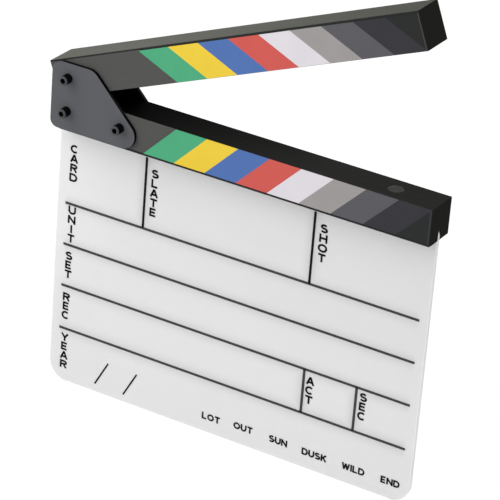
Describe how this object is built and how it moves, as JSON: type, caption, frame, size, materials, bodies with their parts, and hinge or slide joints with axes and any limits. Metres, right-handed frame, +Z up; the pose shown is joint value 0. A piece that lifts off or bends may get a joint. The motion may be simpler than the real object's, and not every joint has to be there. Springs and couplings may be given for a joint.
{
  "type": "clapperboard",
  "caption": "Film clapperboard: a milky writing board let into a striped square stick, with a second striped stick hinged between steel plates at one end to clap shut on it.",
  "frame": {"origin": "middle of the writing board's bottom edge, halfway through its thickness", "axes": "+X along the sticks away from the hinge, -Y out of the written front, +Z up the board towards the sticks"},
  "size_m": [0.3041, 0.0468, 0.3655],
  "materials": {
    "milky_acrylic": "satin gloss sheet, wiped clean between takes",
    "painted_wood": "matte black paint",
    "coated_plate": "fine matte dark grey coat",
    "black_steel": "black oxide, lightly oiled",
    "zinc_steel": "bright zinc plate",
    "nylon": "black nylon",
    "brass": "turned",
    "plated_magnet": "nickel plate",
    "film_green": "matte self-adhesive film",
    "film_yellow": "matte self-adhesive film",
    "film_blue": "matte self-adhesive film",
    "film_red": "matte self-adhesive film",
    "film_white": "matte self-adhesive film",
    "film_light_grey": "matte self-adhesive film",
    "film_mid_grey": "matte self-adhesive film",
    "film_dark_grey": "matte self-adhesive film",
    "film_black": "matte self-adhesive film"
  },
  "bodies": {
    "slate": {"writing_board": "milky_acrylic", "lower_stick": "painted_wood", "front_hinge_plate": "coated_plate", "rear_hinge_plate": "coated_plate", "pivot_bolt": "black_steel", "plate_bolts": "black_steel", "pivot_nut": "zinc_steel", "plate_nuts": "zinc_steel", "pivot_nut_washer": "zinc_steel", "plate_nut_washers": "zinc_steel", "board_screws": "black_steel", "pivot_spacers": "nylon", "lower_magnet": "plated_magnet", "lower_stripe_green": "film_green", "lower_stripe_yellow": "film_yellow", "lower_stripe_blue": "film_blue", "lower_stripe_red": "film_red", "lower_stripe_white": "film_white", "lower_stripe_light_grey": "film_light_grey", "lower_stripe_mid_grey": "film_mid_grey", "lower_stripe_dark_grey": "film_dark_grey", "lower_stripe_black": "film_black"},
    "clapper": {"upper_stick": "painted_wood", "pivot_bush": "brass", "upper_magnet": "plated_magnet", "upper_stripe_green": "film_green", "upper_stripe_yellow": "film_yellow", "upper_stripe_blue": "film_blue", "upper_stripe_red": "film_red", "upper_stripe_white": "film_white", "upper_stripe_light_grey": "film_light_grey", "upper_stripe_mid_grey": "film_mid_grey", "upper_stripe_dark_grey": "film_dark_grey", "upper_stripe_black": "film_black"}
  },
  "joints": [
    {"name": "clap_hinge", "type": "hinge", "parent": "slate", "child": "clapper", "pos_m": [-0.1365, 0, 0.2455], "axis": [0, -1, 0], "range_deg": [-22, 68]}
  ]
}
